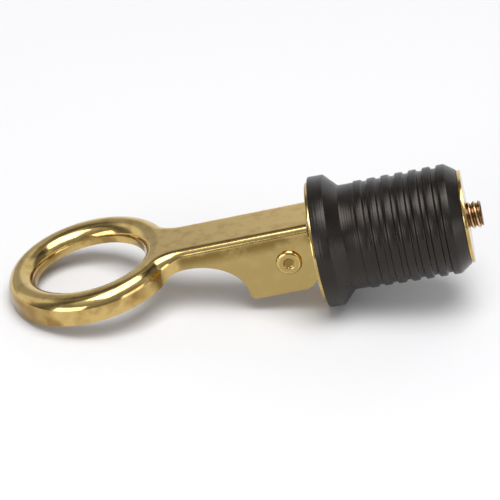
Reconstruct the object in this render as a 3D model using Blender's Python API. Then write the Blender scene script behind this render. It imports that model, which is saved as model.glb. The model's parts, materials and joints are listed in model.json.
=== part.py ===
"""Boat drain plug with a snap handle.

A rubber plug with ribs slides onto a threaded stem between a brass washer and a brass end nut.
The stem's cross head is riveted between the two ears of a stamped sheet handle. Swinging the
handle brings the ears' deeper side against the washer, which shortens and fattens the rubber.

Lengths are in metres and angles in degrees. The plug's own axis is X, with the nut at the far
end, the pin of the handle lies along Y through the origin, and Z is the handle's flat side. The
whole assembly is then laid down on the flange's rim and the tip of the finger ring.
"""

import math

import bmesh
import bpy
from mathutils import Matrix, Vector

# Play between pieces that touch or move against one another
RUNNING_GAP = 0.0003
SEAT_GAP = 0.00005
RIVET_GAP = 0.0001
CUT_OVERRUN = 0.002

# Handle stamping
SHEET = 0.0009
ARM_WIDTH = 0.0134
ARM_TOP = 0.0079
ARM_BEND = 0.0019
ARM_END = 0.00567
NECK_FILLET = 0.0070
NECK_EDGE = 0.0032
EAR_BOTTOM = 0.0078
EAR_HEEL_X = -0.0104
EAR_HEEL_RADIUS = 0.0015
EAR_CAM_RADIUS = 0.00372
RING_REACH = 0.0454
RING_RADIUS = 0.0164
RING_HALF_WIDTH = 0.0035
RING_NECK_HALF_WIDTH = 0.0029
RING_TIP_NARROWING = 0.0004
RING_TOP = 0.0079
RING_DOME = 0.0024
RING_OUTER_EDGE = 0.0019
RING_INNER_EDGE = 0.0035
HANDLE_DROOP = 1.3

# Rivet through the ears
PIN_RADIUS = 0.0024
RIVET_HEAD_RADIUS = 0.0030
RIVET_HEAD_HEIGHT = 0.0008
RIVET_HEAD_EDGE = 0.0003

# Stem
STEM_RADIUS = 0.003175
STEM_HEAD_RADIUS = 0.0045
STEM_HEAD_EDGE = 0.0004
STEM_END = 0.0445
STEM_CHAMFER = 0.0005
THREAD_START = 0.0315
THREAD_PITCH = 0.00127
THREAD_DEPTH = 0.00062

# Washer that the ears press on
WASHER_FACE = 0.0062
WASHER_THICKNESS = 0.0007
WASHER_RADIUS = 0.0139
WASHER_EDGE = 0.00015

# Rubber plug
FLANGE_RADIUS = 0.01503
FLANGE_RIM = 0.00345
FLANGE_CONE = 0.0030
NECK_RADIUS = 0.01201
NECK_LENGTH = 0.00370
VALLEY_RADIUS = 0.01191
FIRST_RIB_RADIUS = 0.01233
LAST_RIB_RADIUS = 0.01254
RIB_PITCH = 0.00317
RIB_WIDTH = 0.0016
RIB_SLOPE = 0.0003
RUBBER_END_RADIUS = 0.01074
RUBBER_END_CHAMFER = 0.0026
RUBBER_EDGE = 0.0002

# End nut
DISC_RADIUS = 0.01058
DISC_THICKNESS = 0.0008
DISC_EDGE = 0.00015
COLLAR_FLATS = 0.0110
COLLAR_LENGTH = 0.0070

# Numbers of pieces and of facets
RIB_COUNT = 7
ROUND_STEPS = 48
SMALL_STEPS = 32
RING_STEPS = 40
NECK_ARC_STEPS = 8
NECK_STEPS = 5
DOME_STEPS = 4
EAR_SCOOP_STEPS = 8
HEEL_STEPS = 3
CAM_STEPS = 6
HEX_SIDES = 6

# Shares of the thread's pitch taken by each flank and by the flat root
FLANK_SHARE = 0.38
ROOT_SHARE = 0.12

# Share of the neck's length in which the free edge rises to the arm's
EDGE_RISE_SHARE = 0.6

# How late the ring's outer half is drawn in towards the neck: 1 is steady, more is later
DRAW_IN_POWER = 1.5

# Surfaces: linear red, green and blue, then roughness
BRASS_COLOUR = (0.62, 0.42, 0.15)
RUBBER_COLOUR = (0.022, 0.021, 0.020)
HANDLE_ROUGHNESS = 0.18
WASHER_ROUGHNESS = 0.22
RIVET_ROUGHNESS = 0.25
NUT_ROUGHNESS = 0.28
STEM_ROUGHNESS = 0.35
RUBBER_ROUGHNESS = 0.5

QUARTER = math.pi / 2

# Places along the plug's axis
RUBBER_START = WASHER_FACE + WASHER_THICKNESS + SEAT_GAP
FLANGE_BACK = RUBBER_START + FLANGE_RIM
NECK_START = FLANGE_BACK + FLANGE_CONE
RIBS_START = NECK_START + NECK_LENGTH
RIBS_END = RIBS_START + RIB_PITCH * (RIB_COUNT - 1) + RIB_WIDTH
RUBBER_END = RIBS_END + RUBBER_END_CHAMFER
DISC_START = RUBBER_END + SEAT_GAP
DISC_END = DISC_START + DISC_THICKNESS
BORE_RADIUS = STEM_RADIUS + RUNNING_GAP
STEM_HEAD_HALF = ARM_WIDTH / 2 - SHEET - RUNNING_GAP


def clear_scene():
    for obj in list(bpy.data.objects):
        bpy.data.objects.remove(obj, do_unlink=True)


def make_material(name, colour, roughness, metallic=0.0):
    material = bpy.data.materials.new(name)
    material.use_nodes = True
    shader = material.node_tree.nodes["Principled BSDF"]
    shader.inputs["Base Color"].default_value = (*colour, 1.0)
    shader.inputs["Roughness"].default_value = roughness
    shader.inputs["Metallic"].default_value = metallic
    material.diffuse_color = (*colour, 1.0)
    return material


def add_object(name, mesh_builder, material=None):
    mesh = bpy.data.meshes.new(name)
    mesh_builder.to_mesh(mesh)
    mesh_builder.free()
    obj = bpy.data.objects.new(name, mesh)
    bpy.context.scene.collection.objects.link(obj)
    if material:
        mesh.materials.append(material)
    return obj


def add_empty(name, parent=None):
    empty = bpy.data.objects.new(name, None)
    bpy.context.scene.collection.objects.link(empty)
    empty.parent = parent
    return empty


def tidy(mesh_builder):
    bmesh.ops.remove_doubles(mesh_builder, verts=mesh_builder.verts, dist=SEAT_GAP / ROUND_STEPS)
    bmesh.ops.recalc_face_normals(mesh_builder, faces=mesh_builder.faces)


def turned(name, profile, steps, axis, material=None, closed=False):
    """A round piece, one facet lowest: the profile's points are (place along the axis, radius)."""
    shape = bmesh.new()
    side = Matrix.Rotation(math.pi / steps, 3, axis) @ Vector((0, 0, -1))
    points = [shape.verts.new(axis * along + side * radius) for along, radius in profile]
    pairs = list(zip(points, points[1:]))
    if closed:
        pairs.append((points[-1], points[0]))
    edges = [shape.edges.new(pair) for pair in pairs]
    bmesh.ops.spin(
        shape,
        geom=points + edges,
        cent=Vector((0, 0, 0)),
        axis=axis,
        angle=2 * math.pi,
        steps=steps,
        use_merge=True,
    )
    tidy(shape)
    return add_object(name, shape, material)


def prism(name, outline, low, high, frame):
    """A flat outline pushed from low to high, then placed by the frame."""
    shape = bmesh.new()
    face = shape.faces.new([shape.verts.new((a, b, low)) for a, b in outline])
    pushed = bmesh.ops.extrude_face_region(shape, geom=[face])
    moved = [part for part in pushed["geom"] if isinstance(part, bmesh.types.BMVert)]
    bmesh.ops.translate(shape, verts=moved, vec=Vector((0, 0, high - low)))
    bmesh.ops.transform(shape, matrix=frame, verts=shape.verts)
    bmesh.ops.recalc_face_normals(shape, faces=shape.faces)
    return add_object(name, shape)


def hide_helper(obj):
    obj.hide_render = True
    obj.display_type = "WIRE"


def apply_boolean(obj, other, operation):
    modifier = obj.modifiers.new(operation.title(), "BOOLEAN")
    modifier.operation = operation
    modifier.solver = "EXACT"
    modifier.object = other
    hide_helper(other)


def smooth(obj, angle=35):
    bpy.context.view_layer.objects.active = obj
    for other in bpy.context.selected_objects:
        other.select_set(False)
    obj.select_set(True)
    obj.data.shade_smooth()
    obj.data.set_sharp_from_angle(angle=math.radians(angle))


def blend(first, second, share):
    return first + (second - first) * share


def ease(share):
    return share * share * (3 - 2 * share)


def arc(centre_x, centre_z, radius_x, radius_z, start, end, steps):
    """Points of an elliptical arc, angles counted from the X direction."""
    points = []
    for step in range(steps + 1):
        angle = math.radians(blend(start, end, step / steps))
        points.append((centre_x + radius_x * math.cos(angle), centre_z + radius_z * math.sin(angle)))
    return points


def edge_curve(outline_point, inward, depth, rise, top, low):
    """Points up one wall of the sheet and over its rounded shoulder, from the free edge to the top."""
    points = [Vector((outline_point.x, outline_point.y, low))]
    for step in range(DOME_STEPS + 1):
        turn = QUARTER * step / DOME_STEPS
        place = outline_point + inward * (depth * (1 - math.cos(turn)))
        points.append(Vector((place.x, place.y, top - rise * (1 - math.sin(turn)))))
    return points


def neck_columns():
    """The joint from ring to arm, as (outline point, inward, how far along) on the +Y side."""
    outer = RING_RADIUS + RING_NECK_HALF_WIDTH
    centre_y = ARM_WIDTH / 2 + NECK_FILLET
    centre_x = math.sqrt((outer + NECK_FILLET) ** 2 - centre_y**2) - RING_REACH
    to_ring = math.atan2(-centre_y, -RING_REACH - centre_x)
    columns = []
    for step in range(NECK_STEPS + 1):
        share = step / NECK_STEPS
        angle = blend(to_ring, -QUARTER, share)
        inward = Vector((math.cos(angle), math.sin(angle)))
        columns.append((Vector((centre_x, centre_y)) + inward * NECK_FILLET, inward, share))
    return columns


def ear_edge(start_x):
    """The free edge of one ear from the arm to the washer's end, as (x, z)."""
    heel_top = -(EAR_BOTTOM - EAR_HEEL_RADIUS)
    scoop = arc(start_x, heel_top, EAR_HEEL_X - start_x, NECK_EDGE - heel_top, 90, 0, EAR_SCOOP_STEPS)
    heel_x = EAR_HEEL_X + EAR_HEEL_RADIUS
    heel = arc(heel_x, heel_top, EAR_HEEL_RADIUS, EAR_HEEL_RADIUS, 180, 270, HEEL_STEPS)
    cam_x = ARM_END - EAR_CAM_RADIUS
    cam_z = -(EAR_BOTTOM - EAR_CAM_RADIUS)
    cam = arc(cam_x, cam_z, EAR_CAM_RADIUS, EAR_CAM_RADIUS, 270, 360, CAM_STEPS)
    # The scoop ends and the heel starts on one upright line, so the heel's first point is left out.
    return scoop + heel[1:] + cam


def add_strip(shape, first, second):
    """Quads between two lists of points of the same length."""
    for (a, b), (c, d) in zip(zip(first, first[1:]), zip(second, second[1:])):
        shape.faces.new([shape.verts.new(point) for point in (a, c, d, b)])


def section_half_width(angle):
    """Half the width of the ring's section, which is a little less at the tip."""
    towards_tip = max(0, -math.cos(angle))
    return RING_HALF_WIDTH - RING_TIP_NARROWING * towards_tip**2


def outer_half_width(angle, joint):
    """The outer half of the section is also drawn in towards the neck."""
    towards_neck = max(0, math.cos(angle)) / math.cos(joint)
    return blend(section_half_width(angle), RING_NECK_HALF_WIDTH, towards_neck**DRAW_IN_POWER)


def handle_skin():
    """The outer surface of the stamping, open underneath."""
    shape = bmesh.new()
    centre = Vector((-RING_REACH, 0))
    columns = neck_columns()
    joint = math.atan2(columns[0][0].y, columns[0][0].x + RING_REACH)

    # The two sides of the ring's half-round section, each from its free edge to the crest
    def outer_section(angle):
        out = Vector((math.cos(angle), math.sin(angle)))
        half = outer_half_width(angle, joint)
        rim = centre + out * (RING_RADIUS + half)
        return edge_curve(rim, -out, half, RING_DOME, RING_TOP, RING_OUTER_EDGE)

    def inner_section(angle):
        out = Vector((math.cos(angle), math.sin(angle)))
        half = section_half_width(angle)
        rim = centre + out * (RING_RADIUS - half)
        return edge_curve(rim, out, half, RING_DOME, RING_TOP, RING_INNER_EDGE)

    free_angles = [blend(joint, 2 * math.pi - joint, step / RING_STEPS) for step in range(RING_STEPS + 1)]
    arc_angles = [blend(-joint, joint, step / NECK_ARC_STEPS) for step in range(NECK_ARC_STEPS + 1)]
    for first, second in zip(free_angles, free_angles[1:]):
        add_strip(shape, outer_section(first), outer_section(second))
    for angles in (free_angles, arc_angles):
        for first, second in zip(angles, angles[1:]):
            add_strip(shape, inner_section(first), inner_section(second))

    # Across the neck and the arm, from the -Y free edge over the top to the +Y one
    crest = [centre + Vector((math.cos(a), math.sin(a))) * RING_RADIUS for a in arc_angles]
    start_x = columns[-1][0].x
    flat_half = ARM_WIDTH / 2 - ARM_BEND
    line = [
        Vector((start_x, blend(-flat_half, flat_half, step / NECK_ARC_STEPS)))
        for step in range(NECK_ARC_STEPS + 1)
    ]

    def cross_section(rim, inward, depth, rise, top, low, share):
        left = edge_curve(rim, inward, depth, rise, top, low)
        right = [Vector((p.x, -p.y, p.z)) for p in left]
        rows = []
        for step in range(1, NECK_ARC_STEPS):
            across = step / NECK_ARC_STEPS
            plain = blend(crest[step], line[step], share)
            from_right = right[-1].xy - blend(crest[0], line[0], share)
            from_left = left[-1].xy - blend(crest[-1], line[-1], share)
            place = plain + blend(from_right, from_left, across)
            rows.append(Vector((place.x, place.y, top)))
        return right + rows + left[::-1]

    sections = []
    for rim, inward, share in columns:
        eased = ease(share)
        sections.append(
            cross_section(
                rim,
                inward,
                blend(RING_NECK_HALF_WIDTH, ARM_BEND, eased),
                blend(RING_DOME, ARM_BEND, eased),
                blend(RING_TOP, ARM_TOP, eased),
                blend(RING_OUTER_EDGE, NECK_EDGE, ease(min(1, share / EDGE_RISE_SHARE))),
                share,
            )
        )
    for place, low in ear_edge(start_x)[1:]:
        rim = Vector((place, ARM_WIDTH / 2))
        section = cross_section(rim, Vector((0, -1)), ARM_BEND, ARM_BEND, ARM_TOP, low, 1)
        for point in section:
            point.x = place
        sections.append(section)
    for first, second in zip(sections, sections[1:]):
        add_strip(shape, first, second)
    tidy(shape)
    if sum(face.normal.z * face.calc_area() for face in shape.faces) < 0:
        bmesh.ops.reverse_faces(shape, faces=shape.faces)
    return shape


def make_handle(material):
    """Sheet brass pressed into a half-round finger ring, a channel-shaped arm and two deep ears."""
    handle = add_object("handle", handle_skin(), material)
    wall = handle.modifiers.new("Sheet", "SOLIDIFY")
    wall.thickness = SHEET
    wall.offset = -1
    wall.use_even_offset = True
    hole = turned(
        "handle_rivet_hole",
        [
            (-ARM_WIDTH / 2 - CUT_OVERRUN, 0),
            (-ARM_WIDTH / 2 - CUT_OVERRUN, PIN_RADIUS + RIVET_GAP),
            (ARM_WIDTH / 2 + CUT_OVERRUN, PIN_RADIUS + RIVET_GAP),
            (ARM_WIDTH / 2 + CUT_OVERRUN, 0),
        ],
        SMALL_STEPS,
        Vector((0, 1, 0)),
    )
    apply_boolean(handle, hole, "DIFFERENCE")
    smooth(handle)
    return handle, hole


def make_rivet(material):
    """A solid rivet with a low domed head outside each ear."""
    seat = ARM_WIDTH / 2 + SEAT_GAP
    top = seat + RIVET_HEAD_HEIGHT
    shoulder = top - RIVET_HEAD_EDGE
    half = [
        (seat, PIN_RADIUS),
        (seat, RIVET_HEAD_RADIUS),
        (shoulder, RIVET_HEAD_RADIUS),
        (top, RIVET_HEAD_RADIUS - RIVET_HEAD_EDGE * 2),
        (top, 0),
    ]
    profile = [(-along, radius) for along, radius in half[::-1]] + half
    rivet = turned("pivot_rivet", profile, SMALL_STEPS, Vector((0, 1, 0)), material)
    smooth(rivet)
    return rivet


def thread_profile():
    points = []
    count = int((STEM_END - STEM_CHAMFER - THREAD_START) / THREAD_PITCH)
    root = STEM_RADIUS - THREAD_DEPTH
    flank = THREAD_PITCH * FLANK_SHARE
    flat = THREAD_PITCH * ROOT_SHARE
    for turn in range(count):
        start = THREAD_START + THREAD_PITCH * turn
        points.append((start, STEM_RADIUS))
        points.append((start + flank, root))
        points.append((start + flank + flat, root))
        points.append((start + 2 * flank + flat, STEM_RADIUS))
    return points


def make_stem(material):
    """A round rod with a thread at the far end and a cross head, drilled for the rivet."""
    shank = [(0, 0), (0, STEM_RADIUS)]
    shank += thread_profile()
    shank += [
        (STEM_END - STEM_CHAMFER, STEM_RADIUS),
        (STEM_END, STEM_RADIUS - STEM_CHAMFER),
        (STEM_END, 0),
    ]
    stem = turned("stem", shank, SMALL_STEPS, Vector((1, 0, 0)), material)
    edge = STEM_HEAD_HALF - STEM_HEAD_EDGE
    head = turned(
        "stem_head",
        [
            (-STEM_HEAD_HALF, 0),
            (-STEM_HEAD_HALF, STEM_HEAD_RADIUS - STEM_HEAD_EDGE),
            (-edge, STEM_HEAD_RADIUS),
            (edge, STEM_HEAD_RADIUS),
            (STEM_HEAD_HALF, STEM_HEAD_RADIUS - STEM_HEAD_EDGE),
            (STEM_HEAD_HALF, 0),
        ],
        SMALL_STEPS,
        Vector((0, 1, 0)),
    )
    apply_boolean(stem, head, "UNION")
    reach = STEM_HEAD_HALF + CUT_OVERRUN
    bore = PIN_RADIUS + RUNNING_GAP
    drill = turned(
        "stem_cross_hole",
        [(-reach, 0), (-reach, bore), (reach, bore), (reach, 0)],
        SMALL_STEPS,
        Vector((0, 1, 0)),
    )
    apply_boolean(stem, drill, "DIFFERENCE")
    smooth(stem)
    return stem, head, drill


def make_washer(material):
    """A flat brass washer, free on the stem, that the ears' edges bear on."""
    far = WASHER_FACE + WASHER_THICKNESS
    washer = turned(
        "cam_washer",
        [
            (WASHER_FACE, BORE_RADIUS),
            (WASHER_FACE, WASHER_RADIUS - WASHER_EDGE),
            (WASHER_FACE + WASHER_EDGE, WASHER_RADIUS),
            (far, WASHER_RADIUS),
            (far, BORE_RADIUS),
        ],
        ROUND_STEPS,
        Vector((1, 0, 0)),
        material,
        closed=True,
    )
    smooth(washer)
    return washer


def rubber_profile():
    points = [
        (RUBBER_START, BORE_RADIUS),
        (RUBBER_START, FLANGE_RADIUS - RUBBER_EDGE),
        (RUBBER_START + RUBBER_EDGE, FLANGE_RADIUS),
        (FLANGE_BACK, FLANGE_RADIUS),
        (NECK_START, NECK_RADIUS),
        (RIBS_START - RIB_SLOPE, NECK_RADIUS),
    ]
    for rib in range(RIB_COUNT):
        crest = blend(FIRST_RIB_RADIUS, LAST_RIB_RADIUS, rib / (RIB_COUNT - 1))
        start = RIBS_START + RIB_PITCH * rib
        end = start + RIB_WIDTH
        if rib:
            points.append((start - RIB_SLOPE, VALLEY_RADIUS))
        points.append((start, crest))
        points.append((end, crest))
        if rib < RIB_COUNT - 1:
            points.append((end + RIB_SLOPE, VALLEY_RADIUS))
    points.append((RUBBER_END, RUBBER_END_RADIUS))
    points.append((RUBBER_END, BORE_RADIUS))
    return points


def hex_outline(flats):
    corner = flats / 2 / math.cos(math.pi / HEX_SIDES)
    turns = [2 * math.pi * side / HEX_SIDES for side in range(HEX_SIDES)]
    return [(corner * math.cos(turn), corner * math.sin(turn)) for turn in turns]


def make_rubber(material):
    """Moulded rubber with a flange, seven ribs, a bore and a six-sided pocket for the nut's collar."""
    rubber = turned("rubber_plug", rubber_profile(), ROUND_STEPS, Vector((1, 0, 0)), material, closed=True)
    pocket = prism(
        "rubber_pocket",
        hex_outline(COLLAR_FLATS + 2 * RUNNING_GAP),
        RUBBER_END - COLLAR_LENGTH - RUNNING_GAP,
        RUBBER_END + CUT_OVERRUN,
        Matrix.Rotation(QUARTER, 4, "Y"),
    )
    apply_boolean(rubber, pocket, "DIFFERENCE")
    smooth(rubber)
    return rubber, pocket


def make_nut(material):
    """A brass disc with a tapped six-sided collar that the rubber's pocket keeps from turning."""
    nut = turned(
        "end_nut",
        [
            (DISC_START, 0),
            (DISC_START, DISC_RADIUS),
            (DISC_END - DISC_EDGE, DISC_RADIUS),
            (DISC_END, DISC_RADIUS - DISC_EDGE),
            (DISC_END, 0),
        ],
        ROUND_STEPS,
        Vector((1, 0, 0)),
        material,
    )
    collar = prism(
        "nut_collar",
        hex_outline(COLLAR_FLATS),
        DISC_START - COLLAR_LENGTH,
        DISC_START + DISC_THICKNESS / 2,
        Matrix.Rotation(QUARTER, 4, "Y"),
    )
    apply_boolean(nut, collar, "UNION")
    low = DISC_START - COLLAR_LENGTH - CUT_OVERRUN
    high = DISC_END + CUT_OVERRUN
    bore = turned(
        "nut_bore",
        [(low, 0), (low, BORE_RADIUS), (high, BORE_RADIUS), (high, 0)],
        SMALL_STEPS,
        Vector((1, 0, 0)),
    )
    apply_boolean(nut, bore, "DIFFERENCE")
    smooth(nut)
    return nut, collar, bore


def lie_angle():
    """How far the plug's axis rises when the flange's rim and the ring's tip both touch the floor."""
    droop = math.radians(HANDLE_DROOP)
    tip_x = -(RING_REACH + RING_RADIUS + section_half_width(math.pi))
    turned_x = tip_x * math.cos(droop) - RING_OUTER_EDGE * math.sin(droop)
    turned_z = tip_x * math.sin(droop) + RING_OUTER_EDGE * math.cos(droop)
    flange_low = FLANGE_RADIUS * math.cos(math.pi / ROUND_STEPS)
    return math.atan2(turned_z + flange_low, RUBBER_START + RUBBER_EDGE - turned_x)


def put_on_floor(base, nodes):
    """Moves the assembly so that the origin is under the middle of its box, at floor height."""
    bpy.context.view_layer.update()
    graph = bpy.context.evaluated_depsgraph_get()
    corners = []
    for node in nodes:
        evaluated = node.evaluated_get(graph)
        mesh = evaluated.to_mesh()
        corners += [evaluated.matrix_world @ vertex.co for vertex in mesh.vertices]
        evaluated.to_mesh_clear()
    low = [min(corner[i] for corner in corners) for i in range(3)]
    high = [max(corner[i] for corner in corners) for i in range(3)]
    base.location = (-(low[0] + high[0]) / 2, -(low[1] + high[1]) / 2, -low[2])


def build():
    clear_scene()
    handle_brass = make_material("polished_handle_brass", BRASS_COLOUR, HANDLE_ROUGHNESS, metallic=1.0)
    rivet_brass = make_material("rivet_brass", BRASS_COLOUR, RIVET_ROUGHNESS, metallic=1.0)
    stem_brass = make_material("stem_brass", BRASS_COLOUR, STEM_ROUGHNESS, metallic=1.0)
    washer_brass = make_material("washer_brass", BRASS_COLOUR, WASHER_ROUGHNESS, metallic=1.0)
    nut_brass = make_material("nut_brass", BRASS_COLOUR, NUT_ROUGHNESS, metallic=1.0)
    black_rubber = make_material("black_rubber", RUBBER_COLOUR, RUBBER_ROUGHNESS)

    base = add_empty("plug_axis")
    base.rotation_euler = (0, -lie_angle(), 0)
    pin = add_empty("pin_axis", base)
    pin.rotation_euler = (0, -math.radians(HANDLE_DROOP), 0)

    handle, *handle_helpers = make_handle(handle_brass)
    rivet = make_rivet(rivet_brass)
    stem, *stem_helpers = make_stem(stem_brass)
    washer = make_washer(washer_brass)
    rubber, *rubber_helpers = make_rubber(black_rubber)
    nut, *nut_helpers = make_nut(nut_brass)

    for obj in [handle, rivet, *handle_helpers]:
        obj.parent = pin
    for obj in [stem, washer, rubber, nut, *stem_helpers, *rubber_helpers, *nut_helpers]:
        obj.parent = base
    put_on_floor(base, [handle, rivet, stem, washer, rubber, nut])


build()
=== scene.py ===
import json
import math

import bmesh
import bpy
from mathutils import Matrix, Vector


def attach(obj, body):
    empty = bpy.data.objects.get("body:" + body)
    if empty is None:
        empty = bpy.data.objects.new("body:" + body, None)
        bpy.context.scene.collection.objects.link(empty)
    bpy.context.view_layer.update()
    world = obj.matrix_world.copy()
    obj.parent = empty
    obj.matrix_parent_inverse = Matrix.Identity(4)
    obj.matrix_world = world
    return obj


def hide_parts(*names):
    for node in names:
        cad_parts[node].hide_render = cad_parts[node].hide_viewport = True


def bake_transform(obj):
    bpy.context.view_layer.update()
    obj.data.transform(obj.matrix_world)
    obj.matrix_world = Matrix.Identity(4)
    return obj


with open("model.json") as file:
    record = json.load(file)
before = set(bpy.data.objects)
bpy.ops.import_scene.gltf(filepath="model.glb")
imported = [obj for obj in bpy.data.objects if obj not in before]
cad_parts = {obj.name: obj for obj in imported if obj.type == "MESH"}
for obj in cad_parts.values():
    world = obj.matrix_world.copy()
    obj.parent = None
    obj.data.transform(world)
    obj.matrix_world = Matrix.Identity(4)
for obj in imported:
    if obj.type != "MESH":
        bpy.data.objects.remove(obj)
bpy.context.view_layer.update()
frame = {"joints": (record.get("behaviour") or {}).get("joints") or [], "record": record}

# Stem
# A brass rod with a rolled 1/4-20 thread and a cross head that is drilled for the rivet.
# The thread is bright on its crests and has painted shade in its grooves. All sizes are in metres.
joints = {joint["name"]: joint for joint in frame["joints"]}
pin_centre = Vector(joints["handle_flip"]["pos_m"])
plug_direction = Vector(joints["stem_turn"]["axis"]).normalized()
lengthwise = Vector((1, 0, 0))
pin_direction = Vector((0, 1, 0))
upwards = Vector((0, 0, 1))
quarter = math.pi / 2

stem_radius = 0.003175
stem_end = 0.0445
stem_chamfer = 0.0005
thread_start = 0.0315
thread_depth = 0.000615
thread_pitch = 0.00127
thread_crest = 0.00012
thread_root = 0.00018
thread_steps = 40
head_radius = 0.0045
head_half = 0.0055
head_edge = 0.0004
rivet_radius = 0.0024
running_gap = 0.0003
overrun = 0.002
weld_distance = 0.000005
fine_steps = 64
edge_segments = 3
square_corner = 60
crisp_angle = 30


def placed(x_axis):
    """The frame of a piece that points along x_axis, with the rivet along Y through its origin."""
    turn = Matrix((x_axis, pin_direction, x_axis.cross(pin_direction))).transposed().to_4x4()
    return Matrix.Translation(pin_centre) @ turn


plug_frame = placed(plug_direction)


def chain(shape, points):
    """A row of vertices, and the edges that join them."""
    verts = [shape.verts.new(point) for point in points]
    edges = [shape.edges.new(pair) for pair in zip(verts, verts[1:])]
    return verts, edges


def closed_up(shape):
    """Merges what coincides and turns every face outwards."""
    bmesh.ops.remove_doubles(shape, verts=shape.verts, dist=weld_distance)
    bmesh.ops.recalc_face_normals(shape, faces=shape.faces)


def turned(profile, axis=lengthwise, steps=fine_steps):
    """A solid round piece, spun from an outline of (place along the axis, radius)."""
    shape = bmesh.new()
    verts, edges = chain(shape, [axis * along + upwards * radius for along, radius in profile])
    has_bore = profile[0][1] > 0
    if has_bore:
        edges.append(shape.edges.new((verts[-1], verts[0])))
    bmesh.ops.spin(
        shape,
        geom=verts + edges,
        cent=(0, 0, 0),
        axis=axis,
        angle=2 * math.pi,
        steps=steps,
        use_merge=True,
    )
    closed_up(shape)
    return shape


def rounded(shape, radius, least_angle=square_corner, segments=edge_segments, spared_place=None):
    """Rounds each edge that turns by more than least_angle degrees, apart from those at spared_place."""
    limit = math.radians(least_angle)
    sharp = [edge for edge in shape.edges if edge.calc_face_angle(0) > limit]
    if spared_place is not None:
        sharp = [edge for edge in sharp if abs(edge.verts[0].co.x - spared_place) > radius]
    bmesh.ops.bevel(
        shape,
        geom=sharp,
        offset=radius,
        offset_type="OFFSET",
        affect="EDGES",
        segments=segments,
        profile=0.5,
        material=-1,
        clamp_overlap=True,
    )


def new_piece(name, shape, placement=Matrix.Identity(4)):
    """An object at the origin, with its place in its mesh."""
    mesh = bpy.data.meshes.new(name)
    bmesh.ops.transform(shape, matrix=placement, verts=shape.verts)
    shape.to_mesh(mesh)
    shape.free()
    piece = bpy.data.objects.new(name, mesh)
    bpy.context.scene.collection.objects.link(piece)
    return piece


def settle(piece):
    """Makes the piece's modifiers part of its mesh."""
    graph = bpy.context.evaluated_depsgraph_get()
    mesh = bpy.data.meshes.new_from_object(piece.evaluated_get(graph))
    piece.modifiers.clear()
    piece.data = mesh


def combine(piece, operation, shape):
    """Joins, trims or cuts piece with another shape."""
    tool = new_piece("tool", shape)
    modifier = piece.modifiers.new(operation, "BOOLEAN")
    modifier.operation = operation
    modifier.object = tool
    settle(piece)
    bpy.data.objects.remove(tool, do_unlink=True)


def smoothed(piece, sharp_angle=crisp_angle):
    """Shades the piece smooth, but keeps an edge crisp where it turns by more than sharp_angle degrees."""
    piece.data.shade_smooth()
    piece.data.set_sharp_from_angle(angle=math.radians(sharp_angle))


# One pitch of the thread's outline is spun into a helix that starts and ends past its cuts.
root_radius = stem_radius - thread_depth
flank = (thread_pitch - thread_crest - thread_root) / 2
one_pitch = [
    (0, stem_radius),
    (thread_crest, stem_radius),
    (thread_crest + flank, root_radius),
    (thread_crest + flank + thread_root, root_radius),
    (thread_pitch, stem_radius),
]
turns = math.ceil((stem_end - thread_start) / thread_pitch) + 2
helix_start = thread_start - thread_pitch
thread = bmesh.new()
verts, edges = chain(thread, [(helix_start + along, 0, radius) for along, radius in one_pitch])
bmesh.ops.spin(
    thread,
    geom=verts + edges,
    cent=(0, 0, 0),
    axis=lengthwise,
    dvec=lengthwise * thread_pitch / thread_steps,
    angle=2 * math.pi * turns,
    steps=thread_steps * turns,
)
closed_up(thread)
for place, at_far_end in ((thread_start, False), (stem_end + thread_pitch / 2, True)):
    cut = bmesh.ops.bisect_plane(
        thread,
        geom=thread.verts[:] + thread.edges[:] + thread.faces[:],
        plane_co=(place, 0, 0),
        plane_no=lengthwise,
        clear_outer=at_far_end,
        clear_inner=not at_far_end,
    )
    rim = [part for part in cut["geom_cut"] if isinstance(part, bmesh.types.BMEdge)]
    bmesh.ops.edgeloop_fill(thread, edges=rim)
closed_up(thread)
stem = new_piece("stem_with_rolled_thread", thread)

chamfered_end = turned([
    (thread_start - overrun, 0),
    (thread_start - overrun, stem_radius + overrun),
    (stem_end - stem_chamfer - overrun, stem_radius + overrun),
    (stem_end, stem_radius - stem_chamfer),
    (stem_end, 0),
])
combine(stem, "INTERSECT", chamfered_end)

shank_end = thread_start + thread_pitch
combine(stem, "UNION", turned([(0, 0), (0, stem_radius), (shank_end, stem_radius), (shank_end, 0)]))

cross_head = turned(
    [(-head_half, 0), (-head_half, head_radius), (head_half, head_radius), (head_half, 0)],
    pin_direction,
)
rounded(cross_head, head_edge)
combine(stem, "UNION", cross_head)

drill_half = head_half + overrun
drill_radius = rivet_radius + running_gap
drill = turned(
    [(-drill_half, 0), (-drill_half, drill_radius), (drill_half, drill_radius), (drill_half, 0)],
    pin_direction,
)
combine(stem, "DIFFERENCE", drill)
stem.data.transform(plug_frame)
smoothed(stem)


def linear(colour):
    """The linear values of an sRGB hex colour, with alpha."""
    values = [int(colour[i:i + 2], 16) / 255 for i in (1, 3, 5)]
    return (*[v / 12.92 if v <= 0.04045 else ((v + 0.055) / 1.055) ** 2.4 for v in values], 1)


def add_node(tree, kind, inputs=(), links=(), **properties):
    """A node with its properties, the values of its inputs, and the sockets that feed it."""
    node = tree.nodes.new(kind)
    for name, value in properties.items():
        setattr(node, name, value)
    for name, value in dict(inputs).items():
        node.inputs[name].default_value = value
    for name, socket in dict(links).items():
        tree.links.new(socket, node.inputs[name])
    return node


def new_material(name, metallic):
    """A material with its tree, its shader and the coordinates of the object's own space."""
    material = bpy.data.materials.new(name)
    material.use_nodes = True
    tree = material.node_tree
    shader = tree.nodes["Principled BSDF"]
    shader.inputs["Metallic"].default_value = metallic
    place = add_node(tree, "ShaderNodeTexCoord").outputs["Object"]
    return material, tree, shader, place
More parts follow.
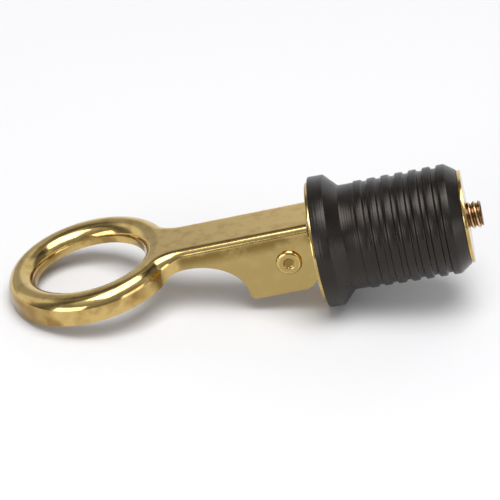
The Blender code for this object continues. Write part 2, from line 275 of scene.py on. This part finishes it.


# Rolled free-machining brass: redder than the sheet. Its crests keep the bright brass, and the grooves
# carry painted shade in a dark brown, which also covers the cut end and gives the thread its contrast.
stem_bright = "#EBD1A6"
groove_shade_brown = "#8F7150"
stem_roughness = 0.26
shade_edge_patch = 0.0009
tool_mark = 0.00012
tool_mark_relief = {"Strength": 0.15, "Distance": 0.00002}
rolled_brass, tree, shader, place = new_material("rolled_brass_thread", 1)
shader.inputs["Roughness"].default_value = stem_roughness
from_pin = add_node(tree, "ShaderNodeVectorMath", {1: pin_centre}, {0: place}, operation="SUBTRACT")
across = add_node(
    tree,
    "ShaderNodeVectorMath",
    {1: plug_direction},
    {0: from_pin.outputs["Vector"]},
    operation="CROSS_PRODUCT",
)
radius = add_node(tree, "ShaderNodeVectorMath", links={0: across.outputs["Vector"]}, operation="LENGTH")
# Painted shade in the grooves: the colour turns dark brown below mid-depth, along an edge that a noise
# moves.
patches = add_node(tree, "ShaderNodeTexNoise", {"Scale": 1 / shade_edge_patch, "Detail": 4}, {"Vector": place})
shade_shift = add_node(tree, "ShaderNodeMath", {1: thread_depth}, {0: patches.outputs["Fac"]}, operation="MULTIPLY")
shade_radius = add_node(
    tree,
    "ShaderNodeMath",
    links={0: radius.outputs["Value"], 1: shade_shift.outputs["Value"]},
    operation="SUBTRACT",
)
unshaded = add_node(
    tree,
    "ShaderNodeMapRange",
    {"From Min": root_radius, "From Max": stem_radius - thread_depth / 2},
    {"Value": shade_radius.outputs["Value"]},
)
tint = add_node(
    tree,
    "ShaderNodeMix",
    {"A": linear(groove_shade_brown), "B": linear(stem_bright)},
    {"Factor": unshaded.outputs["Result"]},
    data_type="RGBA",
)
tree.links.new(tint.outputs["Result"], shader.inputs["Base Color"])
marks = add_node(tree, "ShaderNodeTexNoise", {"Scale": 1 / tool_mark, "Detail": 2}, {"Vector": place})
relief = add_node(tree, "ShaderNodeBump", tool_mark_relief, {"Height": marks.outputs["Fac"]})
tree.links.new(relief.outputs["Normal"], shader.inputs["Normal"])
stem.data.materials.clear()
stem.data.materials.append(rolled_brass)
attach(stem, "stem")
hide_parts("stem")

# Handle
# One blank of sheet brass, pressed into a half-round finger ring, a channel-shaped arm and two
# deep ears, then tumbled and polished bright. Its ears are the cam.
mounts = {mount["name"]: mount for mount in frame["record"]["mounts"]}
arm_up = Vector(mounts["arm_top"]["axis"])
handle_frame = placed(pin_direction.cross(arm_up))

sheet_thickness = 0.0009
arm_width = 0.0134
arm_top = 0.0079
arm_bend = 0.0019
arm_end = 0.00567
neck_fillet = 0.0070
neck_edge = 0.0032
ear_bottom = -0.0078
ear_heel_x = -0.0104
ear_heel_radius = 0.0015
ear_cam_radius = 0.00372
ring_centre = -0.0454
ring_radius = 0.0164
ring_half_width = 0.0035
ring_neck_half_width = 0.0029
ring_tip_narrowing = 0.0004
ring_top = 0.0079
ring_dome = 0.0031
ring_outer_edge = 0.0019
ring_inner_edge = 0.0035
sheared_edge = 0.00012
sheared_corner = 50
sheet_crisp_angle = 40
bend_steps = 12
ring_steps = 132
neck_arc_steps = 14
neck_steps = 14
scoop_steps = 20
heel_steps = 8
cam_steps = 14
edge_rise_share = 0.6
tip_power = 2
draw_in_power = 1.5


def blend(first, second, share):
    """What lies at a share of the way from first to second."""
    return first + (second - first) * share


def ease(share):
    """A share that starts and ends gently."""
    return share * share * (3 - 2 * share)


def towards(angle):
    """One step at an angle, seen from above."""
    return Vector((math.cos(angle), math.sin(angle)))


def arc(centre_x, centre_z, radius_x, radius_z, start, end, steps):
    """Points (x, z) on a part of an ellipse, between two angles."""
    angles = [blend(start, end, step / steps) for step in range(steps + 1)]
    return [(centre_x + radius_x * math.cos(a), centre_z + radius_z * math.sin(a)) for a in angles]


def pressed_edge(rim, inward, depth, rise, top, low):
    """Up one wall of the sheet and over its rounded shoulder, from the free edge to the top."""
    points = [Vector((rim.x, rim.y, low))]
    for step in range(bend_steps + 1):
        turn = quarter * step / bend_steps
        place = rim + inward * (depth * (1 - math.cos(turn)))
        points.append(Vector((place.x, place.y, top - rise * (1 - math.sin(turn)))))
    return points


# The fillet between the ring and the arm touches both, and the ring's outer wall ends where it begins.
centre = Vector((ring_centre, 0))
outside_at_neck = ring_radius + ring_neck_half_width
fillet_y = arm_width / 2 + neck_fillet
fillet_x = math.sqrt((outside_at_neck + neck_fillet) ** 2 - fillet_y ** 2) + ring_centre
fillet_centre = Vector((fillet_x, fillet_y))
fillet_start = math.atan2(-fillet_y, ring_centre - fillet_x)
joint_point = fillet_centre + towards(fillet_start) * neck_fillet
joint_angle = math.atan2(joint_point.y, joint_point.x - ring_centre)

# The ring's two half sections are spun round its centre, the inner one also across the neck.
skin = bmesh.new()
outer_half = (ring_half_width, ring_outer_edge)
inner_half = (-ring_half_width, ring_inner_edge)
free_reach = (joint_angle, 2 * math.pi - 2 * joint_angle, ring_steps)
neck_reach = (-joint_angle, 2 * joint_angle, neck_arc_steps)
for (side, low), (start, sweep, steps) in (
    (outer_half, free_reach),
    (inner_half, free_reach),
    (inner_half, neck_reach),
):
    out = towards(start)
    inward = -out if side > 0 else out
    rim = centre + out * (ring_radius + side)
    verts, edges = chain(skin, pressed_edge(rim, inward, ring_half_width, ring_dome, ring_top, low))
    bmesh.ops.spin(
        skin,
        geom=verts + edges,
        cent=(ring_centre, 0, 0),
        axis=upwards,
        angle=sweep,
        steps=steps,
    )

# The section is a little narrower at the tip, and its outer half is drawn in towards the neck.
for vert in skin.verts:
    from_centre = vert.co.xy - centre
    out = from_centre.normalized()
    side = from_centre.length - ring_radius
    side *= 1 - ring_tip_narrowing / ring_half_width * max(0, -out.x) ** tip_power
    if side > 0:
        neckward = (max(0, out.x) / math.cos(joint_angle)) ** draw_in_power
        side *= blend(1, ring_neck_half_width / ring_half_width, neckward)
    vert.co.xy = centre + out * (ring_radius + side)

# The neck and the arm are bridged between sections that run over the top, edge to edge.
arm_start = fillet_x
flat_half = arm_width / 2 - arm_bend
arc_shares = [step / neck_arc_steps for step in range(neck_arc_steps + 1)]
crest = [centre + towards(blend(-joint_angle, joint_angle, share)) * ring_radius for share in arc_shares]
straight = [Vector((arm_start, blend(-flat_half, flat_half, share))) for share in arc_shares]


def section(rim, inward, depth, rise, top, low, share):
    """One section over the top. Its middle follows the ring's crest at share 0 and runs straight at 1."""
    left = pressed_edge(rim, inward, depth, rise, top, low)
    right = [Vector((point.x, -point.y, point.z)) for point in left]
    from_right = right[-1].xy - blend(crest[0], straight[0], share)
    from_left = left[-1].xy - blend(crest[-1], straight[-1], share)
    middle = []
    for step in range(1, neck_arc_steps):
        flat = blend(crest[step], straight[step], share) + blend(from_right, from_left, arc_shares[step])
        middle.append(Vector((flat.x, flat.y, top)))
    return right + middle + left[::-1]


sections = []
for step in range(neck_steps + 1):
    share = step / neck_steps
    eased = ease(share)
    inward = towards(blend(fillet_start, -quarter, share))
    sections.append(
        section(
            fillet_centre + inward * neck_fillet,
            inward,
            blend(ring_neck_half_width, arm_bend, eased),
            blend(ring_dome, arm_bend, eased),
            blend(ring_top, arm_top, eased),
            blend(ring_outer_edge, neck_edge, ease(min(1, share / edge_rise_share))),
            share,
        )
    )

# The ears' free edge is a quarter-ellipse scoop, a round heel and the round cam, as centres and radii.
heel_top = ear_bottom + ear_heel_radius
scoop = (arm_start, heel_top, ear_heel_x - arm_start, neck_edge - heel_top)
heel = (ear_heel_x + ear_heel_radius, heel_top, ear_heel_radius, ear_heel_radius)
cam = (arm_end - ear_cam_radius, ear_bottom + ear_cam_radius, ear_cam_radius, ear_cam_radius)
ear_edge = arc(*scoop, quarter, 0, scoop_steps)[1:]
ear_edge += arc(*heel, 2 * quarter, 3 * quarter, heel_steps)[1:]
ear_edge += arc(*cam, 3 * quarter, 4 * quarter, cam_steps)
for along, low in ear_edge:
    rim = Vector((along, arm_width / 2))
    sections.append(section(rim, towards(-quarter), arm_bend, arm_bend, arm_top, low, 1))
rows = [chain(skin, points)[1] for points in sections]
for first, second in zip(rows, rows[1:]):
    bmesh.ops.bridge_loops(skin, edges=first + second)
closed_up(skin)

# The skin is open, so its faces are turned over if its top has come out looking down.
if sum(face.normal.z * face.calc_area() for face in skin.faces) < 0:
    bmesh.ops.reverse_faces(skin, faces=skin.faces)
handle = new_piece("stamped_snap_handle", skin, handle_frame)
wall = handle.modifiers.new("Sheet", "SOLIDIFY")
wall.thickness = sheet_thickness
wall.offset = -1
wall.use_even_offset = True
shear = handle.modifiers.new("Sheared edges", "BEVEL")
shear.width = sheared_edge
shear.segments = edge_segments
shear.limit_method = "ANGLE"
shear.angle_limit = math.radians(sheared_corner)
settle(handle)
smoothed(handle, sheet_crisp_angle)
steady = handle.modifiers.new("Flat faces stay flat", "WEIGHTED_NORMAL")
steady.keep_sharp = True

# Polished sheet brass: a pale gold with a mottle of warm stains. The ears' flat sides carry painted shade,
# a shade browner, and a painted shadow right under the bend. The ring's upright wall carries painted dark
# reflections in brown patches, more near its tip, and the rivets' dimples carry painted shade. Polishing
# lines, drawn coarser than the real ones so that they show, and a ripple break its reflections.
sheet_gold = "#CDB171"
sheet_stain = "#B18D54"
side_shade_brown = "#AD9760"
bend_shadow = "#7D6536"
wall_dark_reflection = "#8A6C3A"
dimple_shade_brown = "#8A6F3E"
stain_patch = 0.0026
dark_reflection_patch = 0.007
polish_line = 0.00015
polish_length = 0.012
ripple = 0.0014
ripple_relief = {"Strength": 0.25, "Distance": 0.00001}
line_gloss = {"From Min": 0.3, "From Max": 0.7, "To Min": 0.09, "To Max": 0.17}

# Each zone has the value where it begins, where it is full, and how much a stain or painted shade covers at
# both.
ears_begin = -0.02
tip_begins = -0.043
zone_blend = 0.004
punch_radius = 0.0016
on_ears = (ears_begin, ears_begin + zone_blend, 0, 1)
on_ring = (ears_begin, ears_begin - zone_blend, 0, 1)
on_tip = (tip_begins, tip_begins - zone_blend, 0, 1)
under_bend = (0.0030, 0.0052, 0, 1)
in_dimple = (punch_radius, punch_radius / 2, 0, 1)
flat_side = (0.96, 0.999, 0, 1)
upright_wall = (0.5, 0.2, 0, 1)
stain_mottle = (0.48, 0.72, 0, 0.7)
side_shade_mottle = (0.3, 0.5, 0.8, 1)
shadow_mottle = (0.35, 0.55, 0.3, 0.9)
ring_mottle = (0.48, 0.62, 0, 0.8)
tip_mottle = (0.3, 0.5, 0.4, 0.8)


def stained_and_shaded(metal, colour, *zones):
    """Lays a colour over the metal where all zones meet. Each zone is given after the value it reads."""
    cover = None
    for value, begins, full, least, most in zones:
        limits = {"From Min": begins, "From Max": full, "To Min": least, "To Max": most}
        zone = add_node(tree, "ShaderNodeMapRange", limits, {"Value": value}).outputs["Result"]
        if cover:
            both = add_node(tree, "ShaderNodeMath", links={0: cover, 1: zone}, operation="MULTIPLY")
            zone = both.outputs["Value"]
        cover = zone
    layer = add_node(
        tree,
        "ShaderNodeMix",
        {"B": linear(colour)},
        {"A": metal, "Factor": cover},
        data_type="RGBA",
    )
    return layer.outputs["Result"]


polished_brass, tree, shader, place = new_material("polished_sheet_brass", 1)
at = add_node(tree, "ShaderNodeSeparateXYZ", links={"Vector": place})
facing = add_node(tree, "ShaderNodeSeparateXYZ", links={"Vector": place.node.outputs["Normal"]})
sideways = add_node(tree, "ShaderNodeMath", links={0: facing.outputs["Y"]}, operation="ABSOLUTE")
uprightness = add_node(tree, "ShaderNodeMath", links={0: facing.outputs["Z"]}, operation="ABSOLUTE")
from_pin = add_node(tree, "ShaderNodeVectorMath", {1: pin_centre}, {0: place}, operation="SUBTRACT")
above_pin = add_node(
    tree,
    "ShaderNodeVectorMath",
    {1: arm_up},
    {0: from_pin.outputs["Vector"]},
    operation="DOT_PRODUCT",
)
in_pin_plane = add_node(
    tree,
    "ShaderNodeVectorMath",
    {1: lengthwise + upwards},
    {0: from_pin.outputs["Vector"]},
    operation="MULTIPLY",
)
from_pin_line = add_node(
    tree,
    "ShaderNodeVectorMath",
    links={0: in_pin_plane.outputs["Vector"]},
    operation="LENGTH",
)
stains = add_node(tree, "ShaderNodeTexNoise", {"Scale": 1 / stain_patch, "Detail": 5}, {"Vector": place})
patches = add_node(tree, "ShaderNodeTexNoise", {"Scale": 1 / dark_reflection_patch, "Detail": 3}, {"Vector": place})
stain = stains.outputs["Fac"]
patch = patches.outputs["Fac"]
ear_zones = [(at.outputs["X"], *on_ears), (sideways.outputs["Value"], *flat_side)]
bend_zone = (above_pin.outputs["Value"], *under_bend)
wall_zone = (uprightness.outputs["Value"], *upright_wall)
metal = add_node(tree, "ShaderNodeRGB").outputs["Color"]
metal.default_value = linear(sheet_gold)
metal = stained_and_shaded(metal, sheet_stain, (stain, *stain_mottle))
# Painted shade: the ears' flat sides, which face sideways, are tinted a shade browner.
metal = stained_and_shaded(metal, side_shade_brown, *ear_zones, (stain, *side_shade_mottle))
# Painted shadow on the ears' flat sides right under the bend.
metal = stained_and_shaded(metal, bend_shadow, *ear_zones, bend_zone, (stain, *shadow_mottle))
# Painted dark reflections: brown patches on the ring's upright wall, and more of them near its tip.
metal = stained_and_shaded(metal, wall_dark_reflection, (at.outputs["X"], *on_ring), wall_zone, (patch, *ring_mottle))
metal = stained_and_shaded(metal, wall_dark_reflection, (at.outputs["X"], *on_tip), wall_zone, (patch, *tip_mottle))
# Painted shade in the rivets' dimples.
metal = stained_and_shaded(metal, dimple_shade_brown, (from_pin_line.outputs["Value"], *in_dimple))
tree.links.new(metal, shader.inputs["Base Color"])
stretched = add_node(
    tree,
    "ShaderNodeMapping",
    {"Scale": (1 / polish_length, 1 / polish_line, 1 / polish_line)},
    {"Vector": place},
)
lines = add_node(
    tree,
    "ShaderNodeTexNoise",
    {"Scale": 1, "Detail": 2},
    {"Vector": stretched.outputs["Vector"]},
)
gloss = add_node(tree, "ShaderNodeMapRange", line_gloss, {"Value": lines.outputs["Fac"]})
tree.links.new(gloss.outputs["Result"], shader.inputs["Roughness"])
waves = add_node(tree, "ShaderNodeTexNoise", {"Scale": 1 / ripple, "Detail": 2}, {"Vector": place})
wavy = add_node(tree, "ShaderNodeBump", ripple_relief, {"Height": waves.outputs["Fac"]})
tree.links.new(wavy.outputs["Normal"], shader.inputs["Normal"])
handle.data.materials.append(polished_brass)
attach(handle, "handle")
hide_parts("handle")

# Rivet
# A solid brass rivet through both ears and the stem's cross head. It is peened over on each side into
# a low button, with a dimple left by the punch.
rivet_seat = arm_width / 2
rivet_head_radius = 0.0030
rivet_head_height = 0.0008
rivet_rim_radius = 0.0022
rivet_side_share = 0.4
rivet_shoulder_height_share = 0.8
rivet_shoulder_radius_share = 0.6
rivet_dimple_radius = 0.0014
rivet_dimple_floor_radius = 0.0010
rivet_dimple_depth = 0.0004
rivet_edge = 0.00016
rivet_edge_segments = 4
rivet_least_angle = 15
head_top = rivet_seat + rivet_head_height
dimple_bottom = head_top - rivet_dimple_depth
shoulder_radius = blend(rivet_rim_radius, rivet_head_radius, rivet_shoulder_radius_share)
far_half = [
    (rivet_seat, rivet_radius),
    (rivet_seat, rivet_head_radius),
    (blend(rivet_seat, head_top, rivet_side_share), rivet_head_radius),
    (blend(rivet_seat, head_top, rivet_shoulder_height_share), shoulder_radius),
    (head_top, rivet_rim_radius),
    (head_top, rivet_dimple_radius),
    (dimple_bottom, rivet_dimple_floor_radius),
    (dimple_bottom, 0),
]
near_half = [(-along, radius) for along, radius in reversed(far_half)]
rivet_shape = turned(near_half + far_half, pin_direction)
rounded(rivet_shape, rivet_edge, rivet_least_angle, rivet_edge_segments)
rivet = new_piece("peened_rivet", rivet_shape, handle_frame)
smoothed(rivet, sheet_crisp_angle)
rivet.data.materials.append(polished_brass)
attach(rivet, "handle")
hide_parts("pivot_rivet")

# Washer
# A flat washer blanked from brass sheet, free on the stem. The ears press on it, and it squeezes
# the rubber's flange.
washer_face = 0.0062
washer_thickness = 0.0007
washer_radius = 0.0139
washer_edge = 0.0001
washer_back = washer_face + washer_thickness
bore_radius = stem_radius + running_gap
round_steps = 160
washer_outline = [
    (washer_face, bore_radius),
    (washer_face, washer_radius),
    (washer_back, washer_radius),
    (washer_back, bore_radius),
]
washer_shape = turned(washer_outline, steps=round_steps)
rounded(washer_shape, washer_edge)
washer = new_piece("blanked_washer", washer_shape, plug_frame)
smoothed(washer, sheet_crisp_angle)
washer.data.materials.append(polished_brass)
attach(washer, "washer")
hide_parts("cam_washer")

# Rubber plug
# One moulding of black nitrile rubber with a flange, a plain neck and seven ribs that seal against
# the drain tube. It is drawn as two pieces that meet in a groove, because both its ends are squeezed.
seat_gap = 0.00005
flange_radius = 0.01503
flange_rim = 0.00345
flange_cone = 0.0030
neck_radius = 0.01201
neck_length = 0.00370
valley_radius = 0.01191
first_rib_radius = 0.01233
last_rib_radius = 0.01254
rib_pitch = 0.00317
rib_width = 0.0016
rib_slope = 0.0003
rib_count = 7
split_rib = 3
end_chamfer = 0.0026
end_radius = 0.01074
rubber_edge = 0.0002
rubber_least_angle = 12
collar_flats = 0.0110
collar_length = 0.0070
hex_sides = 6
rubber_start = washer_back + seat_gap
cone_start = rubber_start + flange_rim
neck_start = cone_start + flange_cone
ribs_start = neck_start + neck_length
ribs_end = ribs_start + rib_pitch * (rib_count - 1) + rib_width
rubber_end = ribs_end + end_chamfer
split = ribs_start + rib_pitch * split_rib - (rib_pitch - rib_width) / 2


def rib_points(ribs):
    """The outline over some of the ribs, with the grooves that lie between ribs."""
    points = []
    for rib in ribs:
        crest_radius = blend(first_rib_radius, last_rib_radius, rib / (rib_count - 1))
        start = ribs_start + rib_pitch * rib
        if rib > 0:
            points.append((start - rib_slope, valley_radius))
        points += [(start, crest_radius), (start + rib_width, crest_radius)]
        if rib < rib_count - 1:
            points.append((start + rib_width + rib_slope, valley_radius))
    return points


front_outline = [
    (rubber_start, bore_radius),
    (rubber_start, flange_radius),
    (cone_start, flange_radius),
    (neck_start, neck_radius),
    (ribs_start - rib_slope, neck_radius),
    *rib_points(range(split_rib)),
    (split, valley_radius),
    (split, bore_radius),
]
back_outline = [
    (split, bore_radius),
    (split, valley_radius),
    *rib_points(range(split_rib, rib_count)),
    (rubber_end, end_radius),
    (rubber_end, bore_radius),
]
rubber_pieces = []
for name, outline in (("rubber_flange_half", front_outline), ("rubber_ribbed_half", back_outline)):
    moulding = turned(outline, steps=round_steps)
    rounded(moulding, rubber_edge, rubber_least_angle, spared_place=split)
    rubber_pieces.append(new_piece(name, moulding))
rubber_front, rubber_back = rubber_pieces


def hexagon(flats, low, high):
    """A six-sided bar along X."""
    bar = bmesh.new()
    corner = flats / 2 / math.cos(math.pi / hex_sides)
    bmesh.ops.create_cone(
        bar, cap_ends=True, segments=hex_sides, radius1=corner, radius2=corner, depth=high - low
    )
    bmesh.ops.rotate(bar, verts=bar.verts, matrix=Matrix.Rotation(quarter, 3, "Y"))
    bmesh.ops.translate(bar, verts=bar.verts, vec=((low + high) / 2, 0, 0))
    return bar


socket_floor = rubber_end - collar_length - running_gap
collar_socket = hexagon(collar_flats + 2 * running_gap, socket_floor, rubber_end + overrun)
combine(rubber_back, "DIFFERENCE", collar_socket)

# Moulded nitrile rubber: a warm black with a soft satin bloom. The mould's turning marks run round it and
# break its highlight into short strokes, over a fine grain. Both are drawn coarser than the real ones, so
# that they show.
rubber_black = "#0C0A08"
rubber_bloom = "#1B1713"
rubber_sheen = "#FFF2E6"
rubber_shine = 0.38
bloom_patch = 0.004
bloom_satin = {"From Min": 0.3, "From Max": 0.7, "To Min": 0.24, "To Max": 0.36}
turning_mark = 0.0004
turning_relief = {"Strength": 0.5, "Distance": 0.00008}
mould_grain = 0.00035
grain_relief = {"Strength": 0.35, "Distance": 0.00003}
nitrile, tree, shader, place = new_material("moulded_nitrile_rubber", 0)
shader.inputs["Specular IOR Level"].default_value = rubber_shine
shader.inputs["Specular Tint"].default_value = linear(rubber_sheen)
bloom = add_node(tree, "ShaderNodeTexNoise", {"Scale": 1 / bloom_patch, "Detail": 5}, {"Vector": place})
tint = add_node(
    tree,
    "ShaderNodeMix",
    {"A": linear(rubber_black), "B": linear(rubber_bloom)},
    {"Factor": bloom.outputs["Fac"]},
    data_type="RGBA",
)
tree.links.new(tint.outputs["Result"], shader.inputs["Base Color"])
satin = add_node(tree, "ShaderNodeMapRange", bloom_satin, {"Value": bloom.outputs["Fac"]})
tree.links.new(satin.outputs["Result"], shader.inputs["Roughness"])
along = add_node(
    tree,
    "ShaderNodeVectorMath",
    {1: plug_direction / turning_mark},
    {0: place},
    operation="DOT_PRODUCT",
)
marks = add_node(
    tree,
    "ShaderNodeTexNoise",
    {"Scale": 1, "Detail": 2},
    {"W": along.outputs["Value"]},
    noise_dimensions="1D",
)
turning = add_node(tree, "ShaderNodeBump", turning_relief, {"Height": marks.outputs["Fac"]})
grain = add_node(tree, "ShaderNodeTexNoise", {"Scale": 1 / mould_grain, "Detail": 3}, {"Vector": place})
pebble = add_node(
    tree,
    "ShaderNodeBump",
    grain_relief,
    {"Height": grain.outputs["Fac"], "Normal": turning.outputs["Normal"]},
)
tree.links.new(pebble.outputs["Normal"], shader.inputs["Normal"])
for piece in rubber_pieces:
    piece.data.transform(plug_frame)
    smoothed(piece)
    piece.data.materials.clear()
    piece.data.materials.append(nitrile)
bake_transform(rubber_front)
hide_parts("rubber_plug")
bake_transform(rubber_back)
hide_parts("rubber_plug")

# End nut
# A brass disc with a six-sided tapped collar, pressed into the rubber so that it can't turn there
# and feeds along the thread when the stem is turned.
disc_thickness = 0.0008
disc_radius = 0.01058
disc_edge = 0.0001
countersink = 0.0004
disc_start = rubber_end + seat_gap
disc_end = disc_start + disc_thickness
collar_start = disc_start - collar_length
disc = turned(
    [(disc_start, 0), (disc_start, disc_radius), (disc_end, disc_radius), (disc_end, 0)],
    steps=round_steps,
)
rounded(disc, disc_edge)
nut = new_piece("end_disc_with_collar", disc)
combine(nut, "UNION", hexagon(collar_flats, collar_start, disc_start + disc_thickness / 2))
tap = turned([
    (collar_start - overrun, 0),
    (collar_start - overrun, bore_radius),
    (disc_end - countersink, bore_radius),
    (disc_end + countersink, bore_radius + 2 * countersink),
    (disc_end + countersink, 0),
])
combine(nut, "DIFFERENCE", tap)
nut.data.transform(plug_frame)
smoothed(nut)
nut.data.materials.clear()
nut.data.materials.append(polished_brass)
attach(nut, "nut")
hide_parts("end_nut")

# Studio
# A pale paper floor with no edge in view. A large soft box hangs overhead and one stands low at each
# side. The grey walls have three dark gaps, and the back one is dark near its top, so that brass has
# contrast.
floor_size = 4.0
floor_grey = "#E4E2DF"
paper_roughness = 0.9
ground = bmesh.new()
bmesh.ops.create_grid(ground, x_segments=1, y_segments=1, size=floor_size / 2)
floor = new_piece("floor", ground)
paper, tree, shader, place = new_material("white_paper", 0)
shader.inputs["Roughness"].default_value = paper_roughness
shader.inputs["Base Color"].default_value = linear(floor_grey)
floor.data.materials.append(paper)

# Each wall is a grey that changes with height, as (elevation, level), and each gap is a dark upright
# strip, as (azimuth of its middle, half its width, share of the wall's level). Azimuth runs from the
# back towards the right. One wall gives way to the other between two azimuths at each corner.
lamp_white = "#F8FAFF"
top_level = 2.0
front_wall = ((0, 0.3), (35, 0.4), (60, 0.8), (72, 1.8))
back_wall = ((0, 1.1), (40, 1.0), (52, 0.3), (68, 0.3), (80, 1.5))
left_corner = (-115, -80)
right_corner = (80, 115)
gaps = ((-98, 14, 0.3), (-36, 20, 0.5), (68, 24, 0.2))
gap_edge = 8
world = bpy.data.worlds.new("studio")
bpy.context.scene.world = world
world.use_nodes = True
tree = world.node_tree
direction = add_node(tree, "ShaderNodeTexCoord").outputs["Generated"]
parts = add_node(tree, "ShaderNodeSeparateXYZ", links={"Vector": direction})
rise = add_node(tree, "ShaderNodeMath", links={0: parts.outputs["Z"]}, operation="ARCSINE")
rise_share = add_node(tree, "ShaderNodeMath", {1: quarter}, {0: rise.outputs["Value"]}, operation="DIVIDE")
heading = add_node(
    tree,
    "ShaderNodeMath",
    links={0: parts.outputs["X"], 1: parts.outputs["Y"]},
    operation="ARCTAN2",
)


def wall_light(wall):
    """A grey level by height, as a ramp that holds each level as a share of top_level."""
    ramp = add_node(tree, "ShaderNodeValToRGB", links={"Fac": rise_share.outputs["Value"]})
    stops = ramp.color_ramp.elements
    while len(stops) < len(wall):
        stops.new(1)
    for stop, (angle, level) in zip(stops, wall):
        stop.position = math.radians(angle) / quarter
        stop.color = [tint * level / top_level for tint in linear(lamp_white)[:3]] + [1]
    ramp.color_ramp.interpolation = "EASE"
    return ramp.outputs["Color"]


front_light = wall_light(front_wall)
walls_light = front_light
for (first, last), light in ((left_corner, wall_light(back_wall)), (right_corner, front_light)):
    past_corner = add_node(
        tree,
        "ShaderNodeMapRange",
        {"From Min": math.radians(first), "From Max": math.radians(last)},
        {"Value": heading.outputs["Value"]},
        interpolation_type="SMOOTHSTEP",
    )
    walls = add_node(
        tree,
        "ShaderNodeMix",
        links={"Factor": past_corner.outputs["Result"], "A": walls_light, "B": light},
        data_type="RGBA",
    )
    walls_light = walls.outputs["Result"]
for azimuth, half_width, share in gaps:
    sides = []
    for side in (azimuth - half_width, azimuth + half_width):
        past_side = add_node(
            tree,
            "ShaderNodeMapRange",
            {"From Min": math.radians(side - gap_edge), "From Max": math.radians(side + gap_edge)},
            {"Value": heading.outputs["Value"]},
            interpolation_type="SMOOTHSTEP",
        )
        sides.append(past_side.outputs["Result"])
    inside = add_node(tree, "ShaderNodeMath", links={0: sides[0], 1: sides[1]}, operation="SUBTRACT")
    shade = add_node(
        tree,
        "ShaderNodeMapRange",
        {"To Min": 1, "To Max": share},
        {"Value": inside.outputs["Value"]},
    )
    dimmed = add_node(
        tree,
        "ShaderNodeVectorMath",
        links={0: walls_light, "Scale": shade.outputs["Result"]},
        operation="SCALE",
    )
    walls_light = dimmed.outputs["Vector"]
sky = tree.nodes["Background"]
tree.links.new(walls_light, sky.inputs["Color"])
sky.inputs["Strength"].default_value = top_level


def soft_box(name, azimuth, elevation, distance, width, height, level, twist=0):
    """A lamp panel that faces the origin. Its azimuth is measured as the walls' is."""
    lamp = bpy.data.lights.new(name, "AREA")
    lamp.shape = "RECTANGLE"
    lamp.size = width
    lamp.size_y = height
    lamp.energy = level * math.pi * width * height
    lamp.color = linear(lamp_white)[:3]
    box = bpy.data.objects.new(name, lamp)
    turn = math.radians(azimuth)
    rise = math.radians(elevation)
    outward = Vector((math.sin(turn) * math.cos(rise), math.cos(turn) * math.cos(rise), math.sin(rise)))
    box.location = outward * distance
    spun = Matrix.Rotation(math.radians(twist), 3, "Z")
    box.rotation_euler = (outward.to_track_quat("Z", "Y").to_matrix() @ spun).to_euler()
    box.visible_camera = False
    bpy.context.scene.collection.objects.link(box)


soft_box("overhead", azimuth=150, elevation=78, distance=1.2, width=1.05, height=0.85, level=4.4, twist=22)
soft_box("left_box", azimuth=-144, elevation=13, distance=1.5, width=1.1, height=0.7, level=3.5)
soft_box("right_box", azimuth=123, elevation=9, distance=1.5, width=0.9, height=0.5, level=2.4)

# A long lens at the photograph's viewing angle.
camera_place = (0.00953, -0.4739, 0.28658)
camera_azimuth = 1.0
camera_elevation = 30.05
camera_lens = 172.8
camera_film_width = 36.0
camera_data = bpy.data.cameras.new("camera")
camera_data.lens = camera_lens
camera_data.sensor_width = camera_film_width
camera = bpy.data.objects.new("camera", camera_data)
camera.location = camera_place
camera.rotation_euler = (quarter - math.radians(camera_elevation), 0, math.radians(camera_azimuth))
bpy.context.scene.collection.objects.link(camera)
bpy.context.scene.camera = camera
bpy.context.scene.view_settings.view_transform = "Standard"
